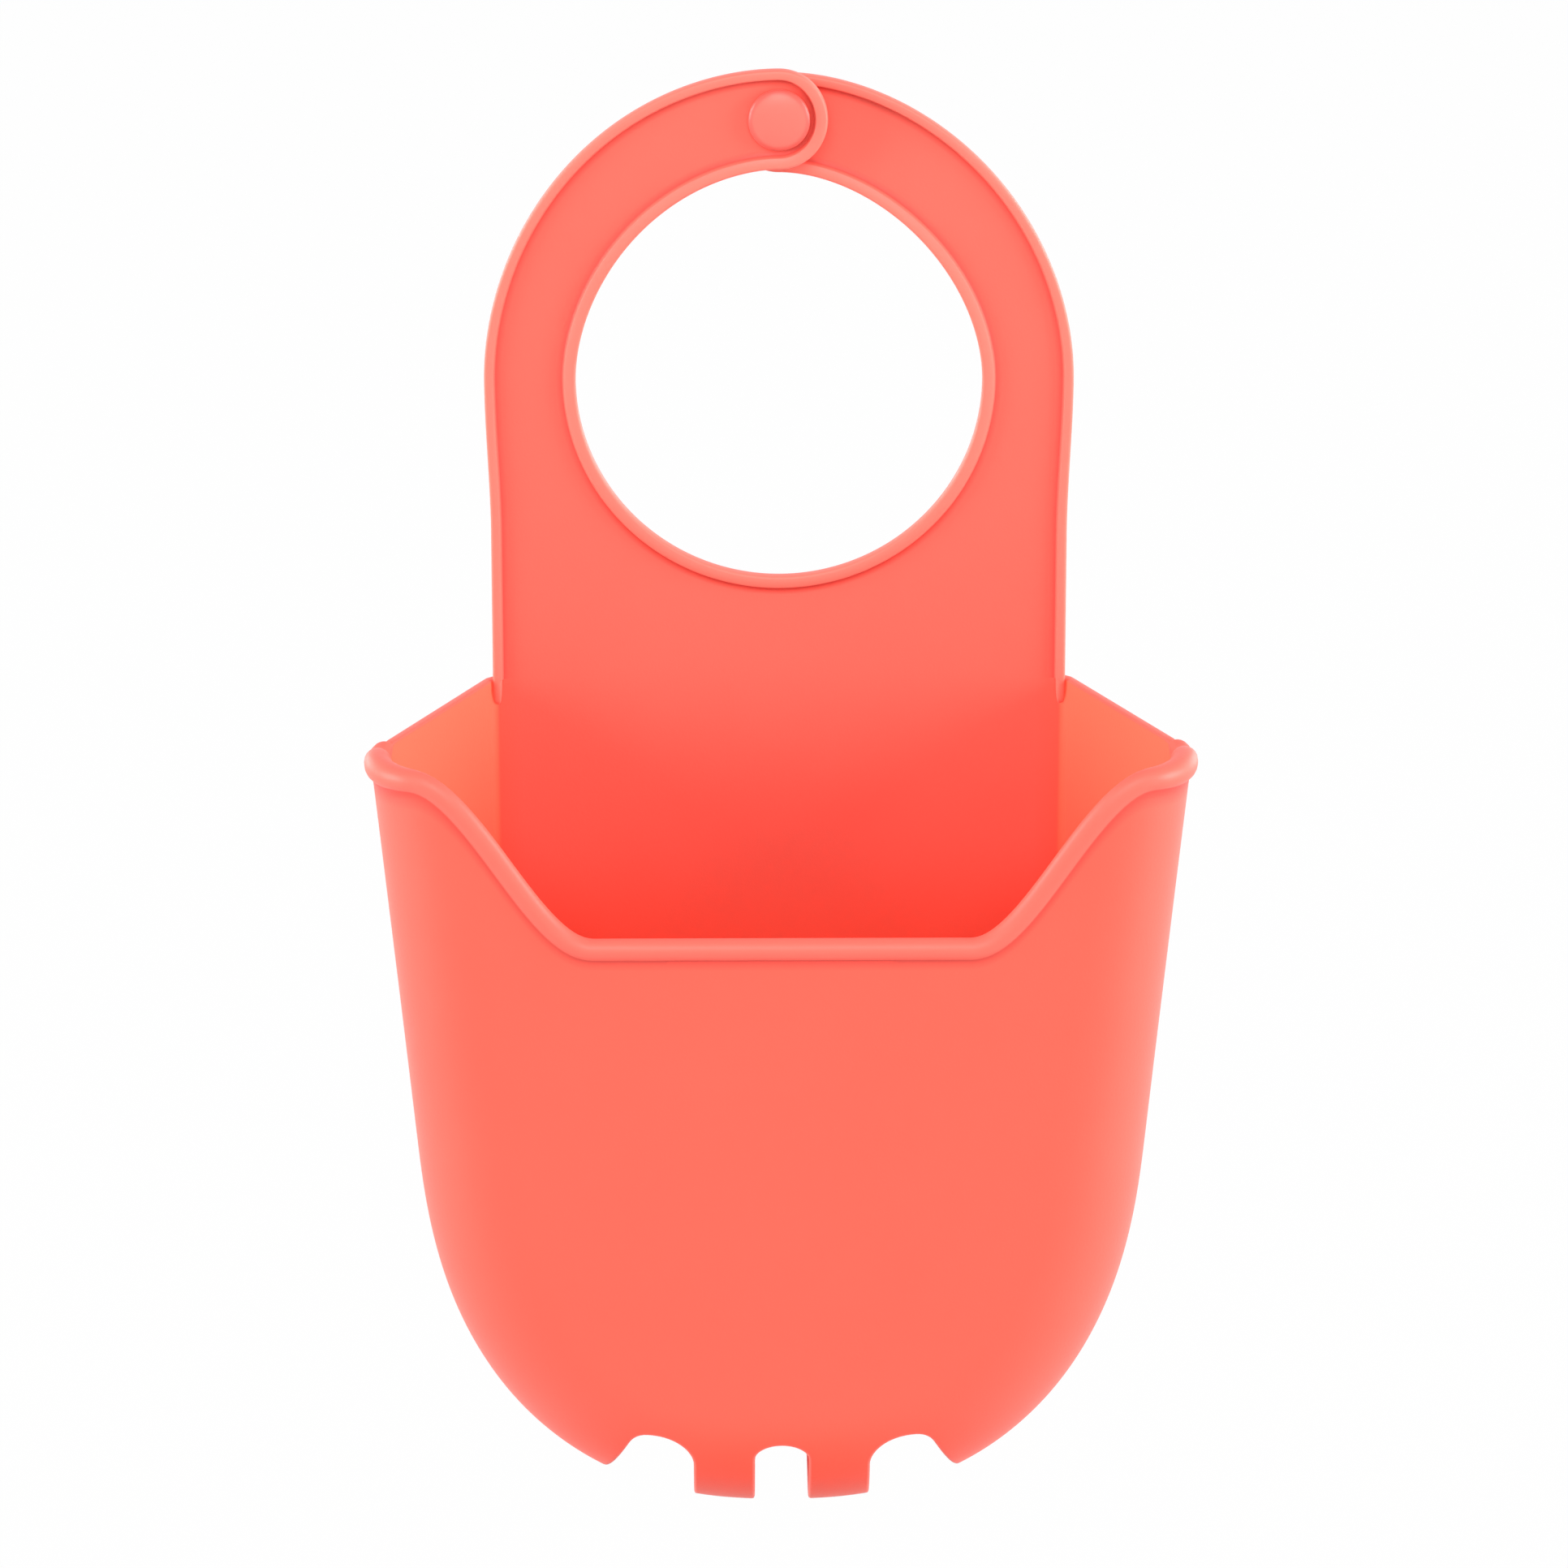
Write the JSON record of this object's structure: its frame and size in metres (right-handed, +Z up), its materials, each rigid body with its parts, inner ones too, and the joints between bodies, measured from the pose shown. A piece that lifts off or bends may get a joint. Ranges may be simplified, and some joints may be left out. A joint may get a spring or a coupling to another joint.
{
  "type": "sink drain bag",
  "caption": "Soft moulded sink caddy: a scooped pocket with drain slots on a flat hanger panel, whose split ring closes round a tap with a press stud.",
  "frame": {"origin": "centre of the ring's hole, on the flat back of the hanger panel", "axes": "+Z up along the hanger, -Y towards the front of the pocket, +Y out of the flat back, +X to the right seen from the front"},
  "size_m": [0.1274, 0.0612, 0.2222],
  "materials": {
    "moulding": "smooth satin thermoplastic rubber, coral",
    "press_stud": "satin plastic, coral"
  },
  "bodies": {
    "hanger": {"hanger_panel": "moulding"},
    "pocket": {"pocket": "moulding"},
    "left_strap": {"left_strap": "moulding", "snap_cap": "press_stud", "snap_socket": "press_stud"},
    "right_strap": {"right_strap": "moulding", "snap_stud": "press_stud", "snap_back_cap": "press_stud"}
  },
  "joints": [
    {"name": "pocket_fold", "type": "hinge", "parent": "hanger", "child": "pocket", "pos_m": [0, -0.00075, -0.0449], "axis": [1, 0, 0], "range_deg": [-90, 90], "stiffness_Nm_per_rad": 0.15},
    {"name": "left_strap_bend", "type": "hinge", "parent": "hanger", "child": "left_strap", "pos_m": [0, -0.00075, 0], "axis": [1, 0, 0], "range_deg": [0, 90], "stiffness_Nm_per_rad": 0.018},
    {"name": "right_strap_bend", "type": "hinge", "parent": "hanger", "child": "right_strap", "pos_m": [0, -0.00075, 0], "axis": [-1, 0, 0], "range_deg": [0, 90], "stiffness_Nm_per_rad": 0.018}
  ]
}
